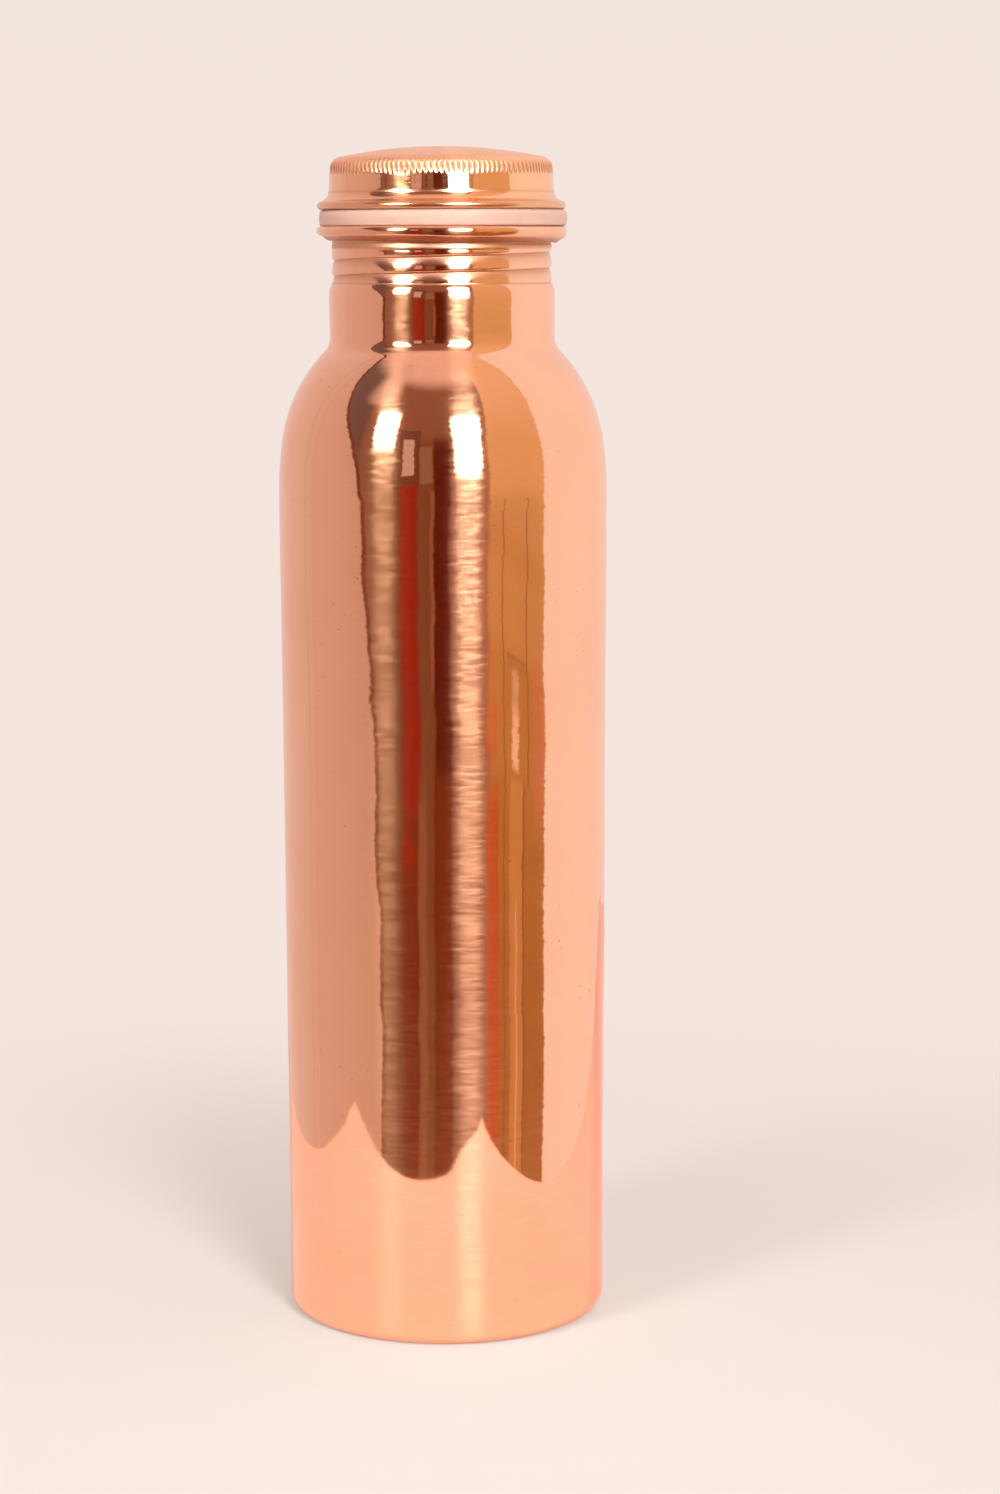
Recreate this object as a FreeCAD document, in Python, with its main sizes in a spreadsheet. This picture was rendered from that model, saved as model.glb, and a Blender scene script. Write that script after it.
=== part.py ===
# A one-litre copper water bottle with a screw-in lid, in millimetres.
#
# The bottle stands on the X-Y plane with its axis on +Z. Its origin is the centre of the circle it stands on.
# It comes apart into four pieces:
#   bottle_body        seamless sheet-copper shell: dished base, wall, shoulder, rolled thread, curled mouth
#   sealing_ring       silicone washer between the mouth and the lid
#   lid_cap            pressed sheet-copper cap: domed crown with fluted edge, skirt, and a hem round its foot
#   lid_threaded_plug  drawn sheet-copper cup that screws down inside the neck, its flange gripped by the hem
import FreeCAD, Part
import math
import os
import re

import Sketcher

# Driving dimensions. Every one is a cell of the sheet, under its own name.
DIMENSIONS = (
    # name, millimetres or degrees or a count, what it is
    ("sheet", 0.5, "thickness of all the copper sheet"),
    ("foot_ring_inner", 28.0, "inner radius of the flat ring the bottle stands on"),
    ("base_dish", 1.6, "how far the base is dished up at its centre"),
    ("foot_corner", 3.6, "radius of the corner between base and wall"),
    ("foot_radius", 36.5, "radius of the wall just above the foot corner"),
    ("body_radius", 37.35, "radius of the wall where the shoulder starts"),
    ("shoulder_start", 190.5, "height where the wall starts to turn in"),
    ("ease_radius", 77.0, "radius of the shoulder's slow first curve"),
    ("knee_slope", 9.5, "degrees of lean where the slow curve gives way to the shoulder"),
    ("shoulder_radius", 35.5, "radius of the shoulder"),
    ("neck_fillet", 4.7, "radius of the hollow between shoulder and neck"),
    ("neck_radius", 25.5, "radius of the plain neck"),
    ("neck_top", 233.9, "height where the plain neck ends"),
    ("crest_radius", 24.8, "radius of the neck over the crests of its thread"),
    ("crest_bottom", 236.2, "height where the threaded part of the neck starts"),
    ("crest_top", 245.4, "height where the threaded part of the neck ends"),
    ("throat_radius", 24.7, "radius of the neck between the thread and the mouth"),
    ("throat_bottom", 246.0, "height where that part starts"),
    ("mouth_bottom", 246.8, "height where the neck runs into the curled mouth"),
    ("mouth_top", 250.0, "height of the mouth, where the sealing ring lies"),
    ("mouth_radius", 28.3, "outer radius of the curl"),
    ("mouth_lead", 1.2, "radius of the mouth's inner edge"),
    ("curl_round", 1.0, "radius of the curl's outer edge"),
    ("curl_droop", 0.9, "how far the end of the curl hangs below its outer edge"),
    ("curl_slit", 0.25, "gap between the neck and the end of the curl"),
    ("pitch", 3.5, "pitch of the thread"),
    ("groove_width", 1.9, "width of the thread's groove at its mouth"),
    ("groove_depth", 0.7, "depth of the thread's groove"),
    ("thread_start", 237.4, "height of the groove's lower end, which is on +X"),
    ("thread_turns", 2.0, "turns of the groove"),
    ("thread_lap", 10.0, "degrees that the ridge inside runs past each end of its groove"),
    ("thread_gap", 0.25, "clearance between the two threads"),
    ("contact_gap", 0.02, "clearance left at each face of the sealing ring"),
    ("ring_height", 3.6, "room between the mouth and the lid's hem"),
    ("ring_inner", 24.6, "inner radius of the sealing ring"),
    ("ring_outer", 27.8, "outer radius of the sealing ring"),
    ("ring_round", 0.7, "radius of the sealing ring's outer edges"),
    ("ring_ease", 0.3, "radius of the sealing ring's inner edges"),
    ("hem_radius", 28.0, "outer radius of the lid's hem"),
    ("hem_slot", 0.8, "height of the slot in the hem, which holds the plug's flange"),
    ("hem_lip", 26.3, "radius where the hem's lower lip ends"),
    ("skirt_bottom", 258.0, "height where the skirt ends"),
    ("skirt_foot", 25.35, "radius of the skirt at its foot"),
    ("skirt_head", 25.05, "radius of the skirt at its head"),
    ("crown_top", 267.7, "height of the crown's centre"),
    ("crown_radius", 112.0, "radius of the crown's dome"),
    ("crown_edge", 2.6, "radius between crown and skirt"),
    ("knurl_count", 126, "flutes round the lid"),
    ("knurl_bottom", 261.5, "height where a flute starts on the skirt"),
    ("knurl_lean", 10.5, "degrees that a flute leans in"),
    ("knurl_radius", 0.6, "radius of a flute"),
    ("plug_crest", 24.0, "radius of the plug over its thread's crests"),
    ("plug_flange", 27.3, "radius of the plug's flange"),
    ("plug_corner", 1.2, "radius of the bend between flange and plug, and round its floor"),
    ("plug_nose", 23.1, "radius of the plug below its thread"),
    ("plug_thread_end", 236.0, "height where the plug narrows to its nose"),
    ("plug_taper", 0.8, "height of that narrowing"),
    ("plug_bottom", 233.0, "height of the plug's underside"),
    ("plug_thread_turns", 3.15, "turns of the plug's groove, which starts one pitch below the neck's"),
    ("plug_ridge_delay", 170.0, "degrees from the start of the plug's groove to the ridge inside it"),
)
SHEET_NAME = "Dimensions"
VALUE = {name: value for name, value, _ in DIMENSIONS}

XZ_PLANE = "XZ_Plane"
Z_AXIS = "Z_Axis"
WHOLE_TURN = 360.0
TURNS_MODE = "pitch-turns-angle"

# Positions on a sketch's geometry, as Sketcher numbers them, and its two axes.
START, END, CENTRE = 1, 2, 3
ORIGIN, H_AXIS, V_AXIS = (-1, 1), -1, -2

# The functions that a formula may use. Their angles are in degrees.
FUNCTIONS = {
    "sin": lambda angle: math.sin(math.radians(angle)),
    "cos": lambda angle: math.cos(math.radians(angle)),
}


def make_sheet(doc):
    """The spreadsheet of driving dimensions: value, name and meaning on each row."""
    sheet = doc.addObject("Spreadsheet::Sheet", SHEET_NAME)
    for row, (name, value, meaning) in enumerate(DIMENSIONS, start=1):
        sheet.set(f"A{row}", str(value))
        sheet.setAlias(f"A{row}", name)
        sheet.set(f"B{row}", meaning)
    doc.recompute()
    return sheet


def cells(formula):
    """A formula in dimension names, as an expression that reads the sheet."""
    return re.sub("[a-z_]+", lambda word: f"{SHEET_NAME}.{word[0]}" if word[0] in VALUE else word[0], formula)


def number(formula):
    """What the same formula is worth now, for a sketch's first drawing."""
    return calculate(re.findall("[a-z_]+|[0-9.]+|[-+*/()]", formula))


def calculate(words):
    """The value of a formula of names, numbers, + - * /, brackets and the functions above."""

    def atom():
        word = words.pop(0)
        if word == "-":
            return -atom()
        if word == "(":
            value = total()
            words.pop(0)
            return value
        if word in FUNCTIONS:
            return FUNCTIONS[word](atom())
        return float(VALUE[word]) if word in VALUE else float(word)

    def product():
        value = atom()
        while words and words[0] in "*/":
            value = value * atom() if words.pop(0) == "*" else value / atom()
        return value

    def total():
        value = product()
        while words and words[0] in "+-":
            value = value + product() if words.pop(0) == "+" else value - product()
        return value

    return total()


def origin_feature(body, role):
    """One of a body's own origin planes or axes."""
    return next(item for item in body.Origin.OriginFeatures if item.Role == role)


def new_body(doc, label):
    body = doc.addObject("PartDesign::Body", label)
    body.Label = label
    return body


class Outline:
    """A closed outline in a body's X-Z plane, drawn corner by corner as radius and height."""

    def __init__(self, body, name, turn=None):
        self.sketch = body.newObject("Sketcher::SketchObject", name)
        self.sketch.AttachmentSupport = (origin_feature(body, XZ_PLANE), [""])
        self.sketch.MapMode = "FlatFace"
        if turn:
            self.sketch.AttachmentOffset = FreeCAD.Placement(
                FreeCAD.Vector(), FreeCAD.Rotation(FreeCAD.Vector(0, 1, 0), number(turn))
            )
            self.sketch.setExpression("AttachmentOffset.Rotation.Angle", cells(turn))
        self.pieces = []

    def line(self, start, end):
        """A straight piece between two points, given as (radius, height)."""
        shape = Part.LineSegment(FreeCAD.Vector(*start, 0), FreeCAD.Vector(*end, 0))
        return self.add(shape, START, END)

    def arc(self, centre, start, end):
        """A round piece about a centre, the short way from start to end."""
        first = math.atan2(start[1] - centre[1], start[0] - centre[0])
        last = math.atan2(end[1] - centre[1], end[0] - centre[0])
        sweep = (last - first + math.pi) % (2 * math.pi) - math.pi
        circle = Part.Circle(FreeCAD.Vector(*centre, 0), FreeCAD.Vector(0, 0, 1), math.dist(centre, start))
        if sweep > 0:
            return self.add(Part.ArcOfCircle(circle, first, first + sweep), START, END)
        return self.add(Part.ArcOfCircle(circle, first + sweep, first), END, START)

    def add(self, shape, start, end):
        piece = (self.sketch.addGeometry(shape, False), start, end)
        self.pieces.append(piece)
        return piece

    def join(self, smooth=()):
        """Closes the outline: each piece starts where the last one ends, and a smooth one has no corner."""
        for one, other in zip(self.pieces, self.pieces[1:] + self.pieces[:1]):
            self.constrain("Tangent" if one in smooth else "Coincident", one[0], one[2], other[0], other[1])

    def constrain(self, kind, *what):
        """Adds a constraint. A text as its last item is a formula, and binds the constraint to the sheet."""
        formula = what[-1] if isinstance(what[-1], str) else None
        values = what[:-1] + (number(formula),) if formula else what
        index = self.sketch.addConstraint(Sketcher.Constraint(kind, *values))
        if formula:
            self.sketch.setExpression(f"Constraints[{index}]", cells(formula))
        return index

    def at_radius(self, piece, which, formula):
        self.constrain("DistanceX", *ORIGIN, piece[0], piece[which], formula)

    def at_height(self, piece, which, formula):
        self.constrain("DistanceY", *ORIGIN, piece[0], piece[which], formula)

    def at(self, piece, which, radius, height):
        """Holds a piece's start (which = 1) or end (2) at a radius and a height."""
        self.at_radius(piece, which, radius)
        self.at_height(piece, which, height)

    def on_axis(self, piece, which):
        self.constrain("PointOnObject", piece[0], piece[which], V_AXIS)

    def upright(self, *pieces):
        for piece in pieces:
            self.constrain("Vertical", piece[0])

    def level(self, *pieces):
        for piece in pieces:
            self.constrain("Horizontal", piece[0])

    def radius(self, piece, formula):
        self.constrain("Radius", piece[0], formula)

    def centre_on_axis(self, piece):
        self.constrain("PointOnObject", piece[0], CENTRE, V_AXIS)

    def centre(self, piece, radius, height):
        self.constrain("DistanceX", *ORIGIN, piece[0], CENTRE, radius)
        self.constrain("DistanceY", *ORIGIN, piece[0], CENTRE, height)

    def polygon(self, corners):
        """A closed outline of straight pieces, each corner held by a radius and a height formula."""
        points = [(number(radius), number(height)) for radius, height in corners]
        for start, end in zip(points, points[1:] + points[:1]):
            self.line(start, end)
        self.join()
        for piece, (radius, height) in zip(self.pieces, corners):
            self.at(piece, 1, radius, height)


def revolved(body, kind, outline, name):
    """Revolves an outline about the body's axis, adding or cutting."""
    feature = body.newObject(kind, name)
    feature.Profile = outline.sketch
    feature.ReferenceAxis = (outline.sketch, ["V_Axis"])
    feature.Angle = WHOLE_TURN
    return feature


def helical(body, kind, outline, name, turns):
    """Sweeps a thread's section up a right-handed helix."""
    feature = body.newObject(kind, name)
    feature.Profile = outline.sketch
    feature.ReferenceAxis = (outline.sketch, ["V_Axis"])
    feature.Mode = TURNS_MODE
    feature.LeftHanded = False
    feature.setExpression("Pitch", cells("pitch"))
    feature.setExpression("Turns", cells(turns))
    return feature


def bottle_outline(body, name, inset, top):
    """The bottle from the axis under the base to the axis at the top, moved inwards by inset all round."""
    outline = Outline(body, name)
    dish = number(f"base_dish + {inset}")
    floor = number(inset)
    ring = number("foot_ring_inner")
    corner = number(f"foot_corner - {inset}")
    foot = number(f"foot_radius - {inset}")
    wall = number(f"body_radius - {inset}")
    ease = number(f"ease_radius - {inset}")
    shoulder = number(f"shoulder_radius - {inset}")
    fillet = number(f"neck_fillet + {inset}")
    start = number("shoulder_start")
    neck = number(f"neck_radius - {inset}")
    slope = math.radians(number("knee_slope"))
    knee = (wall - ease * (1 - math.cos(slope)), start + ease * math.sin(slope))
    hub = (knee[0] - shoulder * math.cos(slope), knee[1] - shoulder * math.sin(slope))
    hollow_r = neck + fillet
    hollow = (hollow_r, hub[1] + math.sqrt((shoulder + fillet) ** 2 - (hollow_r - hub[0]) ** 2))
    share = shoulder / (shoulder + fillet)
    turn = (hub[0] + (hollow[0] - hub[0]) * share, hub[1] + (hollow[1] - hub[1]) * share)
    dish_centre = (0, floor - (ring**2 - (dish - floor) ** 2) / (2 * (dish - floor)))
    crest = number(f"crest_radius - {inset}")
    throat = number(f"throat_radius - {inset}")
    top_height = number(top)

    under = outline.arc(dish_centre, (0, dish), (ring, floor))
    foot_ring = outline.line((ring, floor), (foot - corner, floor))
    foot_bend = outline.arc((foot - corner, floor + corner), (foot - corner, floor), (foot, floor + corner))
    side = outline.line((foot, floor + corner), (wall, start))
    slow = outline.arc((wall - ease, start), (wall, start), knee)
    round_over = outline.arc(hub, knee, turn)
    sweep_in = outline.arc(hollow, turn, (neck, hollow[1]))
    plain = outline.line((neck, hollow[1]), (neck, number("neck_top")))
    outline.line((neck, number("neck_top")), (crest, number("crest_bottom")))
    threaded = outline.line((crest, number("crest_bottom")), (crest, number("crest_top")))
    outline.line((crest, number("crest_top")), (throat, number("throat_bottom")))
    throat_side = outline.line((throat, number("throat_bottom")), (throat, top_height))
    lid = outline.line((throat, top_height), (0, top_height))
    axis = outline.line((0, top_height), (0, dish))
    outline.join(smooth=(foot_ring, foot_bend, side, slow, round_over, sweep_in))

    outline.on_axis(under, 1)
    outline.at_height(under, 1, f"base_dish + {inset}")
    outline.centre_on_axis(under)
    outline.at_radius(foot_ring, 1, "foot_ring_inner")
    if inset == "0":
        outline.constrain("PointOnObject", foot_ring[0], foot_ring[1], H_AXIS)
    else:
        outline.at_height(foot_ring, 1, inset)
    outline.level(foot_ring, lid)
    outline.radius(foot_bend, f"foot_corner - {inset}")
    outline.at_radius(side, 1, f"foot_radius - {inset}")
    outline.at(side, 2, f"body_radius - {inset}", "shoulder_start")
    outline.radius(slow, f"ease_radius - {inset}")
    outline.at_height(slow, 2, f"shoulder_start + ( ease_radius - {inset} ) * sin(knee_slope)")
    outline.radius(round_over, f"shoulder_radius - {inset}")
    outline.radius(sweep_in, f"neck_fillet + {inset}")
    outline.upright(plain, threaded, throat_side, axis)
    outline.at(plain, 2, f"neck_radius - {inset}", "neck_top")
    outline.at(threaded, 1, f"crest_radius - {inset}", "crest_bottom")
    outline.at_height(threaded, 2, "crest_top")
    outline.at(throat_side, 1, f"throat_radius - {inset}", "throat_bottom")
    outline.at_height(throat_side, 2, top)
    return outline


def mouth_outline(body):
    """The curled mouth: the sheet goes up from the neck, over, down and back in towards the neck."""
    inner, outer = "throat_radius - sheet", "throat_radius"
    seat, under = "mouth_top", "mouth_top - 2 * curl_round"
    lead, edge = "throat_radius - sheet + mouth_lead", "mouth_radius - curl_round"
    tip = "throat_radius + curl_slit"
    spring, hub = "mouth_top - mouth_lead", "mouth_top - curl_round"
    place = {
        "low_in": (inner, "mouth_bottom"),
        "high_in": (inner, spring),
        "seat_in": (lead, seat),
        "seat_out": (edge, seat),
        "edge": ("mouth_radius", hub),
        "under_out": (edge, under),
        "tip_low": (tip, f"{under} - curl_droop"),
        "tip_high": (tip, f"{under} - curl_droop + sheet"),
        "void_under": (edge, f"{under} + sheet"),
        "void_edge": ("mouth_radius - sheet", hub),
        "void_out": (edge, "mouth_top - sheet"),
        "void_in": (lead, "mouth_top - sheet"),
        "high_out": (outer, spring),
        "low_out": (outer, "mouth_bottom"),
    }
    point = {name: (number(radius), number(height)) for name, (radius, height) in place.items()}
    lead_centre, edge_centre = (number(lead), number(spring)), (number(edge), number(hub))
    outline = Outline(body, "MouthSection")
    names = list(place)
    bends = {
        "high_in": lead_centre,
        "seat_out": edge_centre,
        "edge": edge_centre,
        "void_under": edge_centre,
        "void_edge": edge_centre,
        "void_in": lead_centre,
    }
    for one, other in zip(names, names[1:] + names[:1]):
        if one in bends:
            outline.arc(bends[one], point[one], point[other])
        else:
            outline.line(point[one], point[other])
    outline.join()
    for piece, name in zip(outline.pieces, names):
        outline.at(piece, 1, *place[name])
        if name in ("high_in", "void_in"):
            outline.radius(piece, "mouth_lead" if name == "high_in" else "mouth_lead - sheet")
        elif name in bends:
            outline.radius(piece, "curl_round" if name in ("seat_out", "edge") else "curl_round - sheet")
    return outline


def groove_radius(extra):
    """The formula for the radius of the thread's round section, widened by extra."""
    half_chord = "groove_width * groove_width / 4"
    return f"( {half_chord} + groove_depth * groove_depth ) / ( 2 * groove_depth ) + {extra}"


def groove_centre():
    """The formula for the radius at which the centre of the thread's round section runs."""
    return f"crest_radius - groove_depth + {groove_radius('0')}"


def thread_section(body, name, extra, chord, height, turn=None):
    """The part of the thread's round section that lies inside the radius called chord."""
    outline = Outline(body, name, turn)
    size = number(groove_radius(extra))
    centre = (number(groove_centre()), number(height))
    reach = math.sqrt(size**2 - (centre[0] - number(chord)) ** 2)
    low = (number(chord), centre[1] - reach)
    high = (number(chord), centre[1] + reach)
    bottom = (centre[0] - size, centre[1])
    lower = outline.arc(centre, low, bottom)
    upper = outline.arc(centre, bottom, high)
    back = outline.line(high, low)
    outline.join()
    outline.centre(lower, groove_centre(), height)
    outline.radius(lower, groove_radius(extra))
    outline.constrain("Coincident", lower[0], CENTRE, upper[0], CENTRE)
    outline.at_height(lower, 2, height)
    outline.upright(back)
    outline.at_radius(back, 1, chord)
    return outline


def make_bottle_body(doc):
    body = new_body(doc, "bottle_body")
    outside = bottle_outline(body, "OuterOutline", "0", "mouth_bottom")
    revolved(body, "PartDesign::Revolution", outside, "OuterForm")
    inside = bottle_outline(body, "InnerOutline", "sheet", "mouth_bottom + sheet")
    revolved(body, "PartDesign::Groove", inside, "WaterSpace")
    revolved(body, "PartDesign::Revolution", mouth_outline(body), "CurledMouth")
    ridge = thread_section(
        body,
        "NeckRidgeSection",
        "sheet",
        "crest_radius - sheet / 2",
        "thread_start - pitch * thread_lap / 360",
        "- thread_lap",
    )
    helical(body, "PartDesign::AdditiveHelix", ridge, "NeckRidgeInside", "thread_turns + thread_lap / 180")
    groove = thread_section(body, "NeckGrooveSection", "0", "crest_radius + groove_depth / 2", "thread_start")
    helical(body, "PartDesign::SubtractiveHelix", groove, "NeckGroove", "thread_turns")
    return body


def make_sealing_ring(doc):
    body = new_body(doc, "sealing_ring")
    low, high = "mouth_top + contact_gap", "mouth_top + ring_height - contact_gap"
    outline = Outline(body, "RingSection")
    outline.polygon([("ring_inner", low), ("ring_outer", low), ("ring_outer", high), ("ring_inner", high)])
    ring = revolved(body, "PartDesign::Revolution", outline, "Ring")
    doc.recompute()
    for side, radius in (("ring_outer", "ring_round"), ("ring_inner", "ring_ease")):
        rounded = body.newObject("PartDesign::Fillet", "Round_" + side)
        edges = ring.Shape.Edges
        names = [
            f"Edge{index}"
            for index, edge in enumerate(edges, start=1)
            if hasattr(edge.Curve, "Radius") and abs(edge.Curve.Radius - number(side)) < number("contact_gap")
        ]
        rounded.Base = (ring, names)
        rounded.setExpression("Radius", cells(radius))
        doc.recompute()
        ring = rounded
    return body


def cap_outline(body):
    """The cap's sheet in section: over the outside from crown to hem, round the hem, and back inside."""
    outline = Outline(body, "CapSection")
    sheet = number("sheet")
    hem_bottom = number("mouth_top + ring_height")
    hem_round = number("sheet + hem_slot / 2")
    slot_round = number("hem_slot / 2")
    hem = (number("hem_radius") - hem_round, hem_bottom + hem_round)
    skirt_foot = (number("skirt_foot"), number("skirt_bottom"))
    run, fall = hem[0] - skirt_foot[0], skirt_foot[1] - hem[1]
    flare_round = (run**2 + fall**2 - hem_round**2) / (2 * (run + hem_round))
    flare = (skirt_foot[0] + flare_round, skirt_foot[1])
    crown = number("crown_radius")
    crown_centre = (0, number("crown_top") - crown)
    edge = number("crown_edge")
    head = number("skirt_head")
    edge_centre_r = head - edge
    edge_centre = (edge_centre_r, crown_centre[1] + math.sqrt((crown - edge) ** 2 - edge_centre_r**2))

    def dome_point(radius):
        share = radius / (crown - edge)
        return (edge_centre[0] * share, crown_centre[1] + (edge_centre[1] - crown_centre[1]) * share)

    def flare_point(radius):
        share = radius / math.dist(flare, hem)
        return (flare[0] + (hem[0] - flare[0]) * share, flare[1] + (hem[1] - flare[1]) * share)

    slot_drop = flare[1] - hem[1] - slot_round
    slot_run = math.sqrt((flare_round + sheet) ** 2 - slot_drop**2)
    slot_top = (flare[0] - slot_run, hem[1] + slot_round)
    apex, under_apex = (0, number("crown_top")), (0, number("crown_top - sheet"))
    lip = number("hem_lip")

    over = outline.arc(crown_centre, apex, dome_point(crown))
    turn = outline.arc(edge_centre, dome_point(crown), (head, edge_centre[1]))
    skirt = outline.line((head, edge_centre[1]), skirt_foot)
    hollow = outline.arc(flare, skirt_foot, flare_point(flare_round))
    bead = outline.arc(hem, flare_point(flare_round), (hem[0] + hem_round, hem[1]))
    bead_under = outline.arc(hem, (hem[0] + hem_round, hem[1]), (hem[0], hem_bottom))
    lip_under = outline.line((hem[0], hem_bottom), (lip, hem_bottom))
    lip_end = outline.line((lip, hem_bottom), (lip, hem_bottom + sheet))
    slot_floor = outline.line((lip, hem_bottom + sheet), (hem[0], hem_bottom + sheet))
    slot_low = outline.arc(hem, (hem[0], hem_bottom + sheet), (hem[0] + slot_round, hem[1]))
    slot_high = outline.arc(hem, (hem[0] + slot_round, hem[1]), (hem[0], hem[1] + slot_round))
    slot_roof = outline.line((hem[0], hem[1] + slot_round), slot_top)
    inner_hollow = outline.arc(flare, slot_top, (skirt_foot[0] - sheet, skirt_foot[1]))
    inner_skirt = outline.line((skirt_foot[0] - sheet, skirt_foot[1]), (head - sheet, edge_centre[1]))
    inner_turn = outline.arc(edge_centre, (head - sheet, edge_centre[1]), dome_point(crown - sheet))
    inner_over = outline.arc(crown_centre, dome_point(crown - sheet), under_apex)
    axis = outline.line(under_apex, apex)
    outline.join(smooth=(over, hollow, inner_turn))

    hub_height = "mouth_top + ring_height + sheet + hem_slot / 2"
    hub_radius = "hem_radius - sheet - hem_slot / 2"
    outline.on_axis(over, 1)
    outline.at_height(over, 1, "crown_top")
    outline.centre_on_axis(over)
    outline.radius(over, "crown_radius")
    outline.radius(turn, "crown_edge")
    outline.constrain("DistanceX", *ORIGIN, turn[0], CENTRE, "skirt_head - crown_edge")
    outline.constrain("Horizontal", turn[0], CENTRE, turn[0], turn[2])
    outline.at(skirt, 2, "skirt_foot", "skirt_bottom")
    outline.constrain("Horizontal", hollow[0], CENTRE, hollow[0], hollow[1])
    outline.radius(bead, "sheet + hem_slot / 2")
    outline.constrain("DistanceX", *ORIGIN, bead[0], CENTRE, hub_radius)
    outline.constrain("DistanceY", *ORIGIN, bead[0], CENTRE, hub_height)
    for same in (bead_under, slot_low, slot_high):
        outline.constrain("Coincident", bead[0], CENTRE, same[0], CENTRE)
    outline.at_height(bead, 2, hub_height)
    outline.level(lip_under, slot_floor, slot_roof)
    outline.upright(lip_end, axis)
    outline.at_radius(lip_end, 1, "hem_lip")
    outline.at_radius(lip_under, 1, hub_radius)
    outline.at_height(lip_end, 2, "mouth_top + ring_height + sheet")
    outline.at_radius(slot_floor, 2, hub_radius)
    outline.at_height(slot_low, 2, hub_height)
    outline.at_radius(slot_roof, 1, hub_radius)
    outline.constrain("Coincident", hollow[0], CENTRE, inner_hollow[0], CENTRE)
    outline.at(inner_skirt, 1, "skirt_foot - sheet", "skirt_bottom")
    outline.at_radius(inner_turn, 1, "skirt_head - sheet")
    outline.constrain("Coincident", turn[0], CENTRE, inner_turn[0], CENTRE)
    outline.constrain("Horizontal", turn[0], CENTRE, inner_turn[0], inner_turn[1])
    outline.constrain("Coincident", over[0], CENTRE, inner_over[0], CENTRE)
    return outline


def make_lid_cap(doc):
    body = new_body(doc, "lid_cap")
    revolved(body, "PartDesign::Revolution", cap_outline(body), "PressedCap")
    flute = body.newObject("PartDesign::SubtractiveCylinder", "KnurlFlute")
    flute.setExpression("Radius", cells("knurl_radius"))
    flute.setExpression("Height", cells("crown_top - knurl_bottom"))
    flute.setExpression("Placement.Base.x", cells("skirt_head + knurl_radius / cos(knurl_lean)"))
    flute.setExpression("Placement.Base.z", cells("knurl_bottom"))
    flute.Placement.Rotation = FreeCAD.Rotation(FreeCAD.Vector(0, -1, 0), number("knurl_lean"))
    flute.setExpression("Placement.Rotation.Angle", cells("knurl_lean"))
    doc.recompute()
    knurl = body.newObject("PartDesign::PolarPattern", "Knurl")
    knurl.Originals = [flute]
    knurl.Axis = (origin_feature(body, Z_AXIS), [""])
    knurl.Angle = WHOLE_TURN
    knurl.setExpression("Occurrences", cells("knurl_count"))
    body.Tip = knurl
    return body


def plug_outline(body):
    """The cup in section: flange, side with room for the thread, nose, flat floor, and back up the inside."""
    outline = Outline(body, "PlugSection")
    flange_low = "mouth_top + ring_height + sheet + ( hem_slot - sheet ) / 2"
    flange_high = f"{flange_low} + sheet"
    bend_out, bend_in = "plug_corner - sheet", "plug_corner"
    cup_in, nose_in = "plug_crest - sheet", "plug_nose - sheet"
    taper_low, lift = "plug_thread_end - plug_taper", "plug_taper"
    place = {
        "rim_low": ("plug_flange", flange_low),
        "bend_rim": (f"plug_crest + {bend_out}", flange_low),
        "bend_side": ("plug_crest", f"{flange_low} - ( {bend_out} )"),
        "side_end": ("plug_crest", "plug_thread_end"),
        "nose": ("plug_nose", taper_low),
        "floor_side": ("plug_nose", "plug_bottom + plug_corner"),
        "floor_edge": ("plug_nose - plug_corner", "plug_bottom"),
        "floor": ("0", "plug_bottom"),
        "inner_floor": ("0", "plug_bottom + sheet"),
        "inner_floor_edge": ("plug_nose - plug_corner", "plug_bottom + sheet"),
        "inner_floor_side": (nose_in, "plug_bottom + plug_corner"),
        "inner_nose": (nose_in, f"{taper_low} + {lift}"),
        "inner_side_end": (cup_in, f"plug_thread_end + {lift}"),
        "inner_side": (cup_in, f"{flange_high} - {bend_in}"),
        "inner_rim": (f"plug_crest - sheet + {bend_in}", flange_high),
        "rim_high": ("plug_flange", flange_high),
    }
    point = {name: (number(radius), number(height)) for name, (radius, height) in place.items()}
    flange_bend = (number(f"plug_crest + {bend_out}"), number(f"{flange_low} - ( {bend_out} )"))
    floor_bend = (number("plug_nose - plug_corner"), number("plug_bottom + plug_corner"))
    bends = {
        "bend_rim": (flange_bend, bend_out),
        "floor_side": (floor_bend, "plug_corner"),
        "inner_floor_edge": (floor_bend, "plug_corner - sheet"),
        "inner_side": (flange_bend, bend_in),
    }
    names = list(place)
    for one, other in zip(names, names[1:] + names[:1]):
        if one in bends:
            outline.arc(bends[one][0], point[one], point[other])
        else:
            outline.line(point[one], point[other])
    outline.join()
    for piece, name in zip(outline.pieces, names):
        if place[name][0] == "0":
            outline.on_axis(piece, 1)
            outline.at_height(piece, 1, place[name][1])
        else:
            outline.at(piece, 1, *place[name])
        if name in bends:
            outline.radius(piece, bends[name][1])
    return outline


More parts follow.
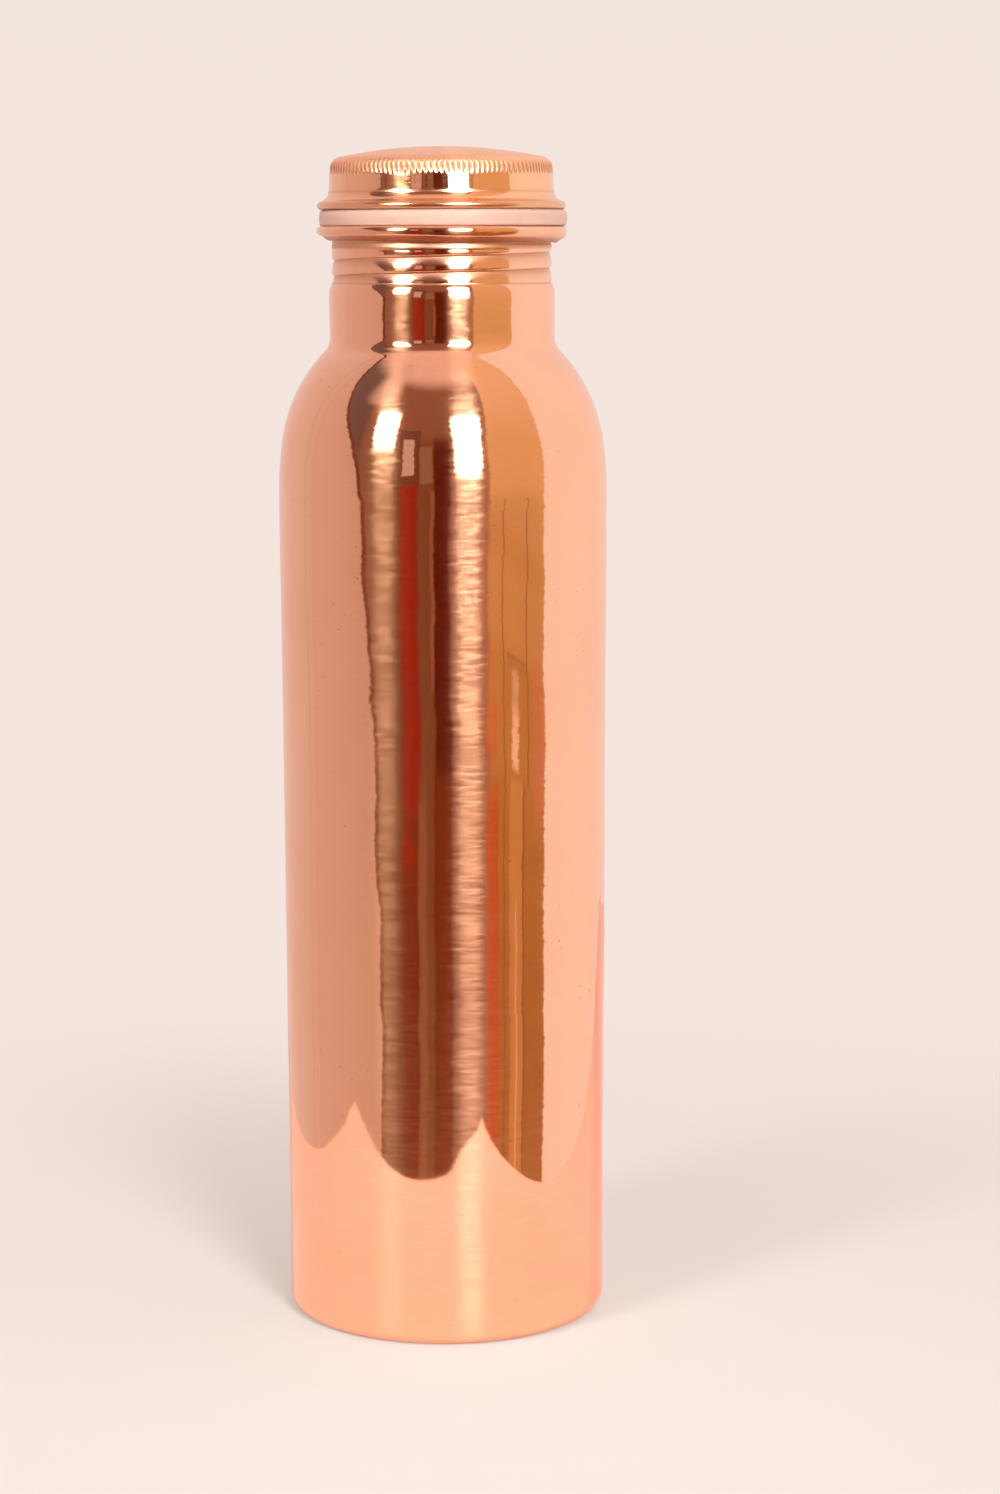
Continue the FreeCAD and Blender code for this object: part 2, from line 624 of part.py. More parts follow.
def make_lid_threaded_plug(doc):
    body = new_body(doc, "lid_threaded_plug")
    revolved(body, "PartDesign::Revolution", plug_outline(body), "DrawnCup")
    first = "thread_start - pitch"
    ridge = thread_section(
        body,
        "PlugRidgeSection",
        "2 * sheet + thread_gap",
        "plug_crest - sheet + thread_gap / 5",
        f"{first} + pitch * plug_ridge_delay / 360",
        "plug_ridge_delay",
    )
    turns = "plug_thread_turns - ( plug_ridge_delay - thread_lap ) / 360"
    helical(body, "PartDesign::AdditiveHelix", ridge, "PlugRidgeInside", turns)
    groove = thread_section(body, "PlugGrooveSection", "sheet + thread_gap", "plug_crest + thread_gap", first)
    helical(body, "PartDesign::SubtractiveHelix", groove, "PlugGroove", "plug_thread_turns")
    trim = Outline(body, "NoseTrimSection")
    trim.polygon(
        [
            ("plug_nose", "plug_bottom + plug_corner / 2"),
            ("plug_nose", "plug_thread_end - plug_taper"),
            ("plug_crest", "plug_thread_end"),
            ("plug_flange", "plug_thread_end"),
            ("plug_flange", "plug_bottom + plug_corner / 2"),
        ]
    )
    revolved(body, "PartDesign::Groove", trim, "NoseTrim")
    return body


def check(doc, bodies):
    """Stops the script if anything failed to build or a piece is not one valid solid."""
    failed = [item.Name for item in doc.Objects if {"Invalid", "Error"} & set(item.State)]
    if failed:
        raise RuntimeError(f"these objects failed: {failed}")
    sketches = [item for item in doc.Objects if item.TypeId == "Sketcher::SketchObject"]
    loose = [item.Name for item in sketches if not item.FullyConstrained]
    if loose:
        raise RuntimeError(f"these sketches aren't fully constrained: {loose}")
    for body in bodies:
        shape = body.Shape
        if shape.isNull() or not shape.isValid() or len(shape.Solids) != 1:
            raise RuntimeError(f"{body.Label} is not one valid solid")
        print(f"{body.Label}: {shape.Volume:.1f} mm3")


def check_cuts(doc):
    """Stops the script if a feature that should cut or add has left the volume as it was."""
    for item in doc.Objects:
        base = getattr(item, "BaseFeature", None)
        if item.TypeId.startswith("PartDesign::") and base is not None and item.TypeId != "PartDesign::Body":
            if abs(item.Shape.Volume - base.Shape.Volume) < number("contact_gap"):
                raise RuntimeError(f"{item.Name} changes nothing")


def main():
    doc = FreeCAD.newDocument("CopperWaterBottle")
    make_sheet(doc)
    bodies = [make_bottle_body(doc), make_sealing_ring(doc), make_lid_cap(doc), make_lid_threaded_plug(doc)]
    doc.recompute()
    check(doc, bodies)
    check_cuts(doc)
    os.makedirs("parts", exist_ok=True)
    for body in bodies:
        body.Shape.exportStep(f"parts/{body.Label}.step")


main()
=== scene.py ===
# The looks of the copper water bottle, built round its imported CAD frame.
# Outlines are in millimetres, as (radius, height) points, and turn into meshes in metres.
import math

import bpy
import numpy as np
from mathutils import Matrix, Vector


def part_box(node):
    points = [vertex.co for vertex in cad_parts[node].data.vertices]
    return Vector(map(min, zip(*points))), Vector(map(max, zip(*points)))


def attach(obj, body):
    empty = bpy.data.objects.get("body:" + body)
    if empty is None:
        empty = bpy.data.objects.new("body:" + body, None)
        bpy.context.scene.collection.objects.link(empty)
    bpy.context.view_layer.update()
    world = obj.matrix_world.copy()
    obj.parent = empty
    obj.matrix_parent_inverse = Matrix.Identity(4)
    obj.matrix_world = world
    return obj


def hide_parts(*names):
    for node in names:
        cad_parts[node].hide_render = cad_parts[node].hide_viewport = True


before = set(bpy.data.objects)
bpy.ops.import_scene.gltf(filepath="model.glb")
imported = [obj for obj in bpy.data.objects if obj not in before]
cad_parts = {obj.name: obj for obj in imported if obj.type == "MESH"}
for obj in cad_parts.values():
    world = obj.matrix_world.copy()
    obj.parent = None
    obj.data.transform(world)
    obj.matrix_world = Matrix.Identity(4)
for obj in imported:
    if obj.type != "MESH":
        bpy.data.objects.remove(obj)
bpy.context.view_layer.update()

MM = 0.001
TURN = 2 * math.pi


# ---------------------------------------------------------------- sizes, from the frame


def reach(node):
    """A CAD node's outer radius and its lowest and highest height, in millimetres."""
    low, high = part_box(node)
    return high.y / MM, low.z / MM, high.z / MM


WALL_R, _, MOUTH_Z = reach("bottle_body")
SEAL_R, SEAL_LOW, SEAL_HIGH = reach("sealing_ring")
HEM_R, HEM_Z, CROWN_Z = reach("lid_cap")
FLANGE_R, PLUG_Z, FLANGE_Z = reach("lid_threaded_plug")

SHEET = 0.5

# How many points each piece has round the axis.
STEPS_ROUND = 360
SEAL_STEPS_ROUND = 256
STEPS_PER_FLUTE = 8

# The bottle, from the foot up.
DISH = 1.6
FOOT_RING_R = 28.0
FOOT_CORNER = 3.6
FOOT_R = WALL_R - 0.85
SHOULDER_Z = MOUTH_Z - 59.5
EASE = 77.0
KNEE = 9.5
SHOULDER = 35.5
NECK_FILLET = 4.7
NECK_R = WALL_R - 11.85
NECK_Z = MOUTH_Z - 16.1
CREST_R = NECK_R - 0.7
CREST_LOW = MOUTH_Z - 12.7
CREST_HIGH = MOUTH_Z - 4.6
THROAT_R = CREST_R - 0.15
CURL_R = NECK_R + 2.7
CURL_ROUND = 1.0
MOUTH_LEAD = 1.2

# The wall's waviness: size, waves round it, wavelength up it, and phase.
WAVES = (
    (0.030, 2, 95, 0.4),
    (0.016, 3, 61, 2.1),
    (0.010, 5, 37, 4.0),
    (0.014, 9, 29, 1.2),
    (0.008, 14, 13, 3.0),
)
CURL_DROOP = 0.75
NECK_RING = 0.04
NECK_RING_Z = MOUTH_Z - 5.3

# The rolled thread. Neck and plug share its line, and each has it from one turn of that line to another.
PITCH = 3.5
THREAD_Z = MOUTH_Z - 12.9
THREAD_DEPTH = 0.6
PLUG_THREAD_DEPTH = THREAD_DEPTH - 0.05
THREAD_BROW = 0.2
THREAD_FADE_IN = 0.3
THREAD_FADE_OUT = 0.45
NECK_TURNS = (-0.3, 2.45)
PLUG_TURNS = (-1.3, 2.75)

# The seal: how much of it is modelled, how far it bulges, and how far it lies off centre.
SEAL_SHOWS = 2.4
SEAL_BULGE = 0.12
SEAL_SHIFT = 0.3

# How dark the painted shade makes each hollow, from 0 to 1.
THREAD_SHADE = 0.75
THROAT_SHADE = 0.72
FOOT_SHADE = 0.35
HEM_SHADE = 0.35
PLUG_SHADE = 0.5

# The lid.
SKIRT_FOOT = (NECK_R - 0.15, HEM_Z + 4.4)
SKIRT_HEAD_R = NECK_R - 0.45
CROWN_DOME = 112.0
CROWN_EDGE = 2.6
HEM_SLOT = 0.8
HEM_ROUND = SHEET + HEM_SLOT / 2
HEM_LIP = 1.7
FLUTES = 126
FLUTE_LOW = HEM_Z + 7.6
FLUTE_HIGH = HEM_Z + 10.9
FLUTE_DEPTH = 0.16
FLUTE_LEAN = 0.3
RIPPLE = 0.02
PLUG_R = CREST_R - 0.8
NOSE_R = PLUG_R - 0.9
PLUG_CORNER = 1.2
NOSE_Z = PLUG_Z + 2.2


# ---------------------------------------------------------------- outlines and meshes


def arc(centre, radius, start, end, steps):
    """Points round a centre from one angle to another, in degrees from outwards towards up."""
    angles = np.radians(np.linspace(start, end, steps + 1))
    return [(centre[0] + radius * math.cos(a), centre[1] + radius * math.sin(a)) for a in angles]


def line(start, end, steps=1):
    return [tuple(p) for p in np.linspace(start, end, steps + 1)]


def between_points(start, end, across, along):
    """Points from one to another, by their shares of the way across and along."""
    run, rise = end[0] - start[0], end[1] - start[1]
    return [(start[0] + run * a, start[1] + rise * b) for a, b in zip(across, along)]


def ease_line(start, end, steps):
    """An S from one point to the next, upright at both ends."""
    shares = np.linspace(0, 1, steps + 1)
    smooth = (1 - np.cos(np.pi * shares)) / 2
    return between_points(start, end, smooth, shares)


def bulge_line(start, end, steps):
    """A quarter of an oval from one point to the next, upright at its start."""
    angles = np.linspace(0, np.pi / 2 * 0.8, steps + 1)
    across, along = 1 - np.cos(angles), np.sin(angles)
    across, along = across / across[-1], along / along[-1]
    return between_points(start, end, across, along)


def joined(*stretches):
    """One outline from stretches that meet end to end."""
    outline = []
    for point in (p for stretch in stretches for p in stretch):
        if not outline or math.dist(outline[-1], point) > 1e-4:
            outline.append(point)
    return outline


def lathe(name, outline, steps, shape=None, loop=False):
    """Turns an outline about +Z. shape moves the points: it takes their radius, height and angle, and gives
    their new radius and height and how much painted shade they have."""
    outline = np.array(outline)
    angle = np.arange(steps) * TURN / steps
    r, a = np.meshgrid(outline[:, 0], angle, indexing="ij")
    z = np.repeat(outline[:, 1:2], steps, axis=1)
    painted_shade = np.zeros_like(r)
    if shape:
        r, z, painted_shade = shape(r, z, a)
    poles = [] if loop else [0, len(outline) - 1]
    rows = [np.arange(1) if i in poles else np.arange(steps) for i in range(len(outline))]
    first = np.cumsum([0] + [len(row) for row in rows])
    rings = []
    for i, row in enumerate(rows):
        radius = 0.0 if i in poles else r[i, row]
        rings.append(np.stack([radius * np.cos(a[i, row]), radius * np.sin(a[i, row]), z[i, row]], axis=1))
    points = np.concatenate(rings)
    faces = []
    pairs = [(i, (i + 1) % len(outline)) for i in range(len(outline) if loop else len(outline) - 1)]
    here = np.arange(steps)
    there = (here + 1) % steps
    for i, k in pairs:
        if i in poles:
            columns = (np.full(steps, first[i]), first[k] + there, first[k] + here)
        elif k in poles:
            columns = (first[i] + here, first[i] + there, np.full(steps, first[k]))
        else:
            columns = (first[i] + here, first[i] + there, first[k] + there, first[k] + here)
        faces += np.stack(columns, axis=1).tolist()
    mesh = bpy.data.meshes.new(name)
    mesh.from_pydata((points * MM).tolist(), [], faces)
    mesh.shade_smooth()
    dark = np.concatenate([painted_shade[i, row] for i, row in enumerate(rows)])
    mesh.attributes.new("painted_shade", "FLOAT", "POINT").data.foreach_set("value", dark.astype(np.float32))
    mesh.update()
    piece = bpy.data.objects.new(name, mesh)
    bpy.context.scene.collection.objects.link(piece)
    return piece


def placed(piece, node, body):
    """A piece that stands for a CAD node: it hides the node and goes on the node's body."""
    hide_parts(node)
    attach(piece, body)
    return piece


def smooth_step(x):
    x = np.clip(x, 0, 1)
    return x * x * (3 - 2 * x)


def near(x, middle, width):
    """1 at the middle, falling smoothly to 0 at a width either side."""
    return smooth_step(1 - np.abs(x - middle) / width)


def thread_dip(z, angle, first_turn, last_turn):
    """How far the rolled thread presses the sheet in, from 0 to 1.

    It is a crease with a short brow over it and a long slope up to it, and fades at both ends."""
    dip = np.zeros_like(z)
    for turn in range(math.floor(first_turn), math.ceil(last_turn)):
        along = angle / TURN + turn
        fade = smooth_step((along - first_turn) / THREAD_FADE_IN)
        fade = fade * smooth_step((last_turn - along) / THREAD_FADE_OUT)
        above = (z - THREAD_Z) / PITCH - along
        width = np.where(above > 0, THREAD_BROW, 1 - THREAD_BROW)
        dip = np.maximum(dip, fade * np.clip(1 - np.abs(above) / width, 0, 1) ** 2)
    return dip


# ---------------------------------------------------------------- the bottle


def shell_side(inset, fine):
    """The bottle's side in section, from the base's centre to the neck's plain top, moved in by inset."""
    wall, foot, corner = WALL_R - inset, FOOT_R - inset, FOOT_CORNER - inset
    neck, shoulder, fillet = NECK_R - inset, SHOULDER - inset, NECK_FILLET + inset
    dome = (FOOT_RING_R**2 + DISH**2) / (2 * DISH)
    dish_end = 90 - math.degrees(math.asin(FOOT_RING_R / dome))
    knee = math.radians(KNEE)
    ease = EASE - inset
    knee_r, knee_z = wall - ease * (1 - math.cos(knee)), SHOULDER_Z + ease * math.sin(knee)
    hub = (knee_r - shoulder * math.cos(knee), knee_z - shoulder * math.sin(knee))
    hollow_r = neck + fillet
    hollow = (hollow_r, hub[1] + math.sqrt((shoulder + fillet) ** 2 - (hollow_r - hub[0]) ** 2))
    turn = math.degrees(math.atan2(hollow[1] - hub[1], hollow[0] - hub[0]))
    return joined(
        arc((0, DISH + inset - dome), dome, 90, dish_end, 8 * fine),
        line((FOOT_RING_R, inset), (foot - corner, inset), fine),
        arc((foot - corner, inset + corner), corner, -90, 0, 4 * fine),
        line((foot, inset + corner), (wall, SHOULDER_Z), 30 * fine),
        arc((wall - ease, SHOULDER_Z), ease, 0, KNEE, 4 * fine),
        arc(hub, shoulder, KNEE, turn, 13 * fine),
        arc(hollow, fillet, turn + 180, 180, 4 * fine),
        line((neck, hollow[1]), (neck, NECK_Z), 3 * fine),
    )


def bottle_outline():
    """The whole shell in section: up the outside, round the curled mouth, and down the inside."""
    curl = (CURL_R - CURL_ROUND, MOUTH_Z - CURL_ROUND)
    tip = (THROAT_R + 1.15, MOUTH_Z - 2.75)
    flare = 3.2
    throat = (THROAT_R + flare, CREST_HIGH + 0.7)
    lead = (THROAT_R + 0.05 - SHEET + MOUTH_LEAD, MOUTH_Z - MOUTH_LEAD)
    inner_crest = CREST_R - SHEET
    inside = list(reversed(shell_side(SHEET, 1)))
    return joined(
        shell_side(0, 2),
        bulge_line((NECK_R, NECK_Z), (CREST_R, CREST_LOW), 10),
        line((CREST_R, CREST_LOW), (CREST_R, CREST_HIGH), 64),
        ease_line((CREST_R, CREST_HIGH), (THROAT_R, throat[1]), 3),
        arc(throat, flare, 180, 142, 6),
        [(THROAT_R + 0.85, MOUTH_Z - 2.0), (THROAT_R + 0.95, MOUTH_Z - 2.0)],
        arc(tip, 0.25, 150, 285, 4),
        arc(curl, CURL_ROUND, -88, 90, 16),
        line((curl[0], MOUTH_Z), (lead[0], MOUTH_Z), 3),
        arc(lead, MOUTH_LEAD, 90, 180, 6),
        line((lead[0] - MOUTH_LEAD, lead[1]), (lead[0] - MOUTH_LEAD, CREST_HIGH + 0.6), 3),
        line((inner_crest, CREST_HIGH), (inner_crest, CREST_LOW), 24),
        list(reversed(bulge_line((NECK_R - SHEET, NECK_Z), (inner_crest, CREST_LOW), 5))),
        inside,
    )


def bottle_shape(r, z, angle):
    """The rolled thread, the hand-finished curl, the shell's slight waviness, and painted shade in its
    hollows.
    """
    dip = thread_dip(z, angle, *NECK_TURNS)
    dip = dip * smooth_step((z - CREST_LOW + 0.4) / 0.8) * (z < MOUTH_Z - 2.4)
    side = smooth_step((z - FOOT_CORNER) / 15) * smooth_step((NECK_Z - z) / 12)
    wave = sum(size * (np.cos(n * angle + TURN * z / length + phase) - 1) for size, n, length, phase in WAVES)
    curl = smooth_step((MOUTH_Z - 0.4 - z) / 1.6) * (z > MOUTH_Z - 3.3)
    curl = curl * smooth_step((r - THROAT_R - 0.3) / 0.8)
    droop = CURL_DROOP * (1 + np.cos(angle + 0.5)) / 2
    droop = droop + 0.08 * np.cos(5 * angle + 1) + 0.05 * np.cos(9 * angle)
    # Painted shade, as a darkening of the colour: in the crease under the curl and at the thread's low end,
    # under the curl, in the throat, in the thread's groove and round the foot by the floor.
    crease = near(z, MOUTH_Z - 2.1, 0.6) * near(r, THROAT_R + 0.9, 0.5) + 0.5 * near(z, CREST_LOW, 0.35)
    under_curl = curl * (0.2 + 0.35 * smooth_step((MOUTH_Z - 1.2 - z) / 1.2))
    throat = smooth_step((z - CREST_HIGH + 0.8) / 0.8) * smooth_step((MOUTH_Z - 1.9 - z) / 0.3)
    foot = near(z, 0, 2.5) * smooth_step((r - 30) / 4)
    painted_shade = THREAD_SHADE * dip + THROAT_SHADE * throat + FOOT_SHADE * foot + crease + under_curl
    ring = NECK_RING * near(z, NECK_RING_Z, 0.35)
    return r - THREAD_DEPTH * dip - ring + wave * side, z - curl * droop, np.clip(painted_shade, 0, 1)


def make_bottle():
    piece = lathe("bottle_shell", bottle_outline(), STEPS_ROUND, bottle_shape)
    return placed(piece, "bottle_body", "bottle")


# ---------------------------------------------------------------- the seal


def make_seal():
    """The silicone washer, squeezed a little out at its edge and lying a little off centre."""
    inner, foot, edge, ease = SEAL_R - SEAL_SHOWS, 0.5, 0.95, 0.3
    outline = joined(
        arc((inner + ease, SEAL_LOW + ease), ease, 180, 270, 4),
        line((inner + ease, SEAL_LOW), (SEAL_R - foot, SEAL_LOW), 3),
        arc((SEAL_R - foot, SEAL_LOW + foot), foot, -90, 0, 8),
        line((SEAL_R, SEAL_LOW + foot), (SEAL_R, SEAL_HIGH - edge), 6),
        arc((SEAL_R - edge, SEAL_HIGH - edge), edge, 0, 90, 8),
        line((SEAL_R - edge, SEAL_HIGH), (inner + ease, SEAL_HIGH), 3),
        arc((inner + ease, SEAL_HIGH - ease), ease, 90, 180, 4),
        line((inner, SEAL_HIGH - ease), (inner, SEAL_LOW + ease), 4),
    )[:-1]

    def shape(r, z, angle):
        middle, half = (SEAL_LOW + SEAL_HIGH) / 2, (SEAL_HIGH - SEAL_LOW) / 2
        bulge = near(z, middle, half) * smooth_step((r - inner - 1) / 1.2)
        off_centre = SEAL_SHIFT * np.cos(angle - 0.15)
        return r + SEAL_BULGE * bulge * (1 + 0.5 * np.cos(3 * angle)) + off_centre, z, np.zeros_like(r)

    piece = lathe("silicone_seal", outline, SEAL_STEPS_ROUND, shape, loop=True)
    return placed(piece, "sealing_ring", "seal")


# ---------------------------------------------------------------- the lid


def cap_outline():
    """The cap in section: from the crown's centre over the outside, round the hem, and back inside."""
    dome_z = CROWN_Z - CROWN_DOME
    edge_r = SKIRT_HEAD_R - CROWN_EDGE
    edge = (edge_r, dome_z + math.sqrt((CROWN_DOME - CROWN_EDGE) ** 2 - edge_r**2))
    lean = math.degrees(math.atan2(edge[1] - dome_z, edge_r))
    hem = (HEM_R - HEM_ROUND, HEM_Z + HEM_ROUND)
    run, fall = hem[0] - SKIRT_FOOT[0], SKIRT_FOOT[1] - hem[1]
    flare = (run**2 + fall**2 - HEM_ROUND**2) / (2 * (run + HEM_ROUND))
    flare_hub = (SKIRT_FOOT[0] + flare, SKIRT_FOOT[1])
    meet = math.degrees(math.atan2(flare_hub[1] - hem[1], flare_hub[0] - hem[0]))
    slot = HEM_SLOT / 2
    lip_r = HEM_R - HEM_LIP
    slot_run = math.sqrt((flare + SHEET) ** 2 - (flare_hub[1] - hem[1] - slot) ** 2)
    slot_top = (flare_hub[0] - slot_run, hem[1] + slot)
    slot_angle = math.degrees(math.atan2(slot_top[1] - flare_hub[1], slot_top[0] - flare_hub[0]))
    return joined(
        arc((0, dome_z), CROWN_DOME, 90, lean, 10),
        arc(edge, CROWN_EDGE, lean, 0, 18),
        line((SKIRT_HEAD_R, edge[1]), SKIRT_FOOT, 16),
        arc(flare_hub, flare, 180, 180 + meet, 7),
        arc(hem, HEM_ROUND, meet, -90, 12),
        line((hem[0], HEM_Z), (lip_r, HEM_Z), 2),
        arc((lip_r, HEM_Z + SHEET / 2), SHEET / 2, 270, 90, 4),
        arc(hem, slot, -90, 90, 4),
        [slot_top],
        arc(flare_hub, flare + SHEET, slot_angle, -180, 4),
        line((SKIRT_FOOT[0] - SHEET, SKIRT_FOOT[1]), (SKIRT_HEAD_R - SHEET, edge[1]), 4),
        arc(edge, CROWN_EDGE - SHEET, 0, lean, 4),
        arc((0, dome_z), CROWN_DOME - SHEET, lean, 90, 4),
    )


def turned_over(outline):
    """An outline drawn from the top down, as lathe needs it to face outwards."""
    return list(reversed(outline))


def leaf_flutes(z, angle):
    """How deep the coin-edge flutes cut, from 0 to 1: each is a slim leaf, widest halfway up."""
    up = np.clip((z - FLUTE_LOW) / (FLUTE_HIGH - FLUTE_LOW), 0, 1)
    leaf = 0.35 + 0.6 * np.sin(np.pi * up)
    uneven = 0.12 * np.cos(7 * angle + 1) + 0.08 * np.cos(13 * angle)
    turn = FLUTES * angle / TURN + FLUTE_LEAN * up + uneven
    across = 2 * np.abs((turn + 0.5) % 1 - 0.5)
    return np.clip(1 - across / leaf, 0, 1) * smooth_step(up * 4) * smooth_step((1 - up) * 3)


def skirt_ripple(angle):
    """Upright ripples that the knurling wheel left on the skirt, uneven from one flute to the next."""
    dents = np.random.default_rng(7).uniform(-1, 1, 2 * FLUTES) ** 3
    spots = np.linspace(0, TURN, 2 * FLUTES + 1)
    return np.interp(angle, spots, np.append(dents, dents[0]))


def cap_shape(r, z, angle):
    """The coin-edge flutes, the ripples that they leave on the skirt, and painted shade in the flutes, the
    skirt's crease and round the hem.
    """
    outer = r > SKIRT_HEAD_R - 1.9
    flute = leaf_flutes(z, angle)
    on_skirt = smooth_step((FLUTE_LOW + 1 - z) / 1) * smooth_step((z - SKIRT_FOOT[1] + 0.4) / 1.2)
    # Painted shade, as a darkening of the colour: in the flutes, in the crease at the skirt's foot, under the
    # hem and on its bead.
    crease = near(z, SKIRT_FOOT[1] - 0.4, 0.5)
    under = smooth_step((HEM_Z + 1.0 - z) / 1.0) * (0.45 + 0.55 * (r < HEM_R - 0.2))
    hem = HEM_SHADE * near(z, HEM_Z + 1.3, 1.4)
    painted_shade = np.clip(flute ** 0.4 + 0.4 * crease + under + hem, 0, 1)
    return r - (FLUTE_DEPTH * flute + RIPPLE * skirt_ripple(angle) * on_skirt) * outer, z, painted_shade


def make_cap():
    piece = lathe("lid_crown", turned_over(cap_outline()), FLUTES * STEPS_PER_FLUTE, cap_shape)
    return placed(piece, "lid_cap", "lid")


def plug_outline():
    """The threaded cup in section: out under its floor, up its side, round the flange, and down inside."""
    flange_low = FLANGE_Z - SHEET
    bend, inner_bend = PLUG_CORNER - SHEET, PLUG_CORNER
    bend_r = PLUG_R + bend
    floor_bend = (NOSE_R - PLUG_CORNER, PLUG_Z + PLUG_CORNER)
    taper = NOSE_Z + 0.8
    return joined(
        line((0, PLUG_Z), (NOSE_R - PLUG_CORNER, PLUG_Z), 5),
        arc(floor_bend, PLUG_CORNER, -90, 0, 6),
        ease_line((NOSE_R, NOSE_Z), (PLUG_R, taper), 5),
        line((PLUG_R, taper), (PLUG_R, flange_low - bend), 64),
        arc((bend_r, flange_low - bend), bend, 180, 90, 5),
        line((bend_r, flange_low), (FLANGE_R, flange_low), 3),
        line((FLANGE_R, FLANGE_Z), (bend_r, FLANGE_Z), 3),
        arc((bend_r, FLANGE_Z - inner_bend), inner_bend, 90, 180, 5),
        line((PLUG_R - SHEET, FLANGE_Z - inner_bend), (PLUG_R - SHEET, taper + 0.8), 48),
        ease_line((PLUG_R - SHEET, taper + 0.8), (NOSE_R - SHEET, NOSE_Z + 0.8), 4),
        arc(floor_bend, PLUG_CORNER - SHEET, 0, -90, 4),
        line((NOSE_R - PLUG_CORNER, PLUG_Z + SHEET), (0, PLUG_Z + SHEET), 5),
    )


def plug_shape(r, z, angle):
    """The plug's rolled thread, which runs out at the nose, with painted shade in its groove."""
    dip = thread_dip(z, angle, *PLUG_TURNS) * smooth_step((z - NOSE_Z) / 1.2) * (r < PLUG_R + 0.1)
    return r - PLUG_THREAD_DEPTH * dip, z, PLUG_SHADE * dip


def make_plug():
    piece = lathe("lid_plug", plug_outline(), STEPS_ROUND, plug_shape)
    return placed(piece, "lid_threaded_plug", "lid")


# ---------------------------------------------------------------- node helpers


class Graph:
    """Builds a node tree: each call adds one node and gives its first output."""

    def __init__(self, tree):
        self.tree = tree
        tree.nodes.clear()

    def add(self, kind, inputs=(), output=0, **settings):
        node = self.tree.nodes.new(kind)
        for name, value in settings.items():
            setattr(node, name, value)
        for name, value in dict(inputs).items():
            if isinstance(value, bpy.types.NodeSocket):
                self.tree.links.new(value, node.inputs[name])
            else:
                node.inputs[name].default_value = value
        return node.outputs[output] if len(node.outputs) else node

    def math(self, operation, *values):
        return self.add("ShaderNodeMath", dict(enumerate(values)), operation=operation)

    def vector(self, x, y, z):
        return self.add("ShaderNodeCombineXYZ", {"X": x, "Y": y, "Z": z})

    def split(self, vector):
        node = self.add("ShaderNodeSeparateXYZ", {"Vector": vector}).node
        return node.outputs["X"], node.outputs["Y"], node.outputs["Z"]

    def between(self, value, low, high, to_low=0.0, to_high=1.0, way="SMOOTHSTEP"):
        """A value moved from one range to another, and held at its ends."""
        names = {"Value": value, "From Min": low, "From Max": high, "To Min": to_low, "To Max": to_high}
        return self.add("ShaderNodeMapRange", names, interpolation_type=way)

    def noise(self, vector, scale, detail=2.0, roughness=0.5):
        names = {"Vector": vector, "Scale": scale, "Detail": detail, "Roughness": roughness}
        return self.add("ShaderNodeTexNoise", names)

    def mix(self, share, one, other):
        node = self.add("ShaderNodeMix", data_type="RGBA").node
        for name, value in (("Factor_Float", share), ("A_Color", one), ("B_Color", other)):
            socket = next(s for s in node.inputs if s.identifier == name)
            if isinstance(value, bpy.types.NodeSocket):
                self.tree.links.new(value, socket)
            elif name == "Factor_Float":
                socket.default_value = value
            else:
                socket.default_value = (*value, 1)
        return next(s for s in node.outputs if s.identifier == "Result_Color")

    def length(self, x, y):
        """The length of a level vector."""
        squares = self.math("ADD", self.math("MULTIPLY", x, x), self.math("MULTIPLY", y, y))
        return self.math("SQRT", squares)

    def ramp(self, value, stops):
        """A colour ramp from (position, colour) stops."""
        node = self.add("ShaderNodeValToRGB", {"Fac": value}).node
        ramp = node.color_ramp
        while len(ramp.elements) < len(stops):
            ramp.elements.new(1)
        for element, (position, _) in zip(ramp.elements, stops):
            element.position = position
        for element, (_, colour) in zip(ramp.elements, stops):
            element.color = (*colour, 1)
        return node.outputs["Color"]


def new_material(name):
    material = bpy.data.materials.new(name)
    material.use_nodes = True
    return material, Graph(material.node_tree)


# ---------------------------------------------------------------- materials

COPPER = (0.95, 0.58, 0.42)
LID_COPPER = (0.96, 0.59, 0.395)
WORN_COPPER = (0.90, 0.46, 0.30)
WARM_COPPER = (0.95, 0.52, 0.24)
SHADE_AND_SPECK_TONE = (0.30, 0.11, 0.055)
CLOUDY_SILICONE = (0.44, 0.32, 0.275)
CLEAR_SILICONE = (0.53, 0.385, 0.335)

# What turned_lines takes: how fine the noise is to the metre across the lines, and to the radian along
# them, and its detail and roughness.
HAIRLINES = (1350, 7, 3, 0.6)
BANDS = (420, 2.2, 2, 0.5)
COMB = (1200, 4, 3, 0.6)
# How far the comb turns the normal, in the mirror and in the share that the lines spread.
MIRROR_COMB = 0.035
SPREAD_COMB = 0.10
SPREAD_ROUGHNESS = 0.26
# Satin: its lowest height, how far up it fades in, the roughness it adds, and the share of the lines' spread
# that it takes away.
SATIN_Z = CROWN_Z - 5.8
SATIN_FADE = 0.9
SATIN_ROUGHNESS = 0.3
SATIN_LOSS = 0.6
# How much the painted shade darkens and dulls, how much tarnish specks darken, and the darkest that both can
# be.
SHADE_DARKENS = 0.7
SHADE_DULLS = 0.5
SPECKS_COLOUR = 0.35
DARKEST = 0.85


def round_the_axis(graph, place):
    """The direction of a place from the axis, as x and y, and a length that grows up the side and inwards."""
    x, y, z = graph.split(place)
    radius = graph.length(x, y)
    safe = graph.math("MAXIMUM", radius, MM)
    return graph.math("DIVIDE", x, safe), graph.math("DIVIDE", y, safe), graph.math("SUBTRACT", z, radius)


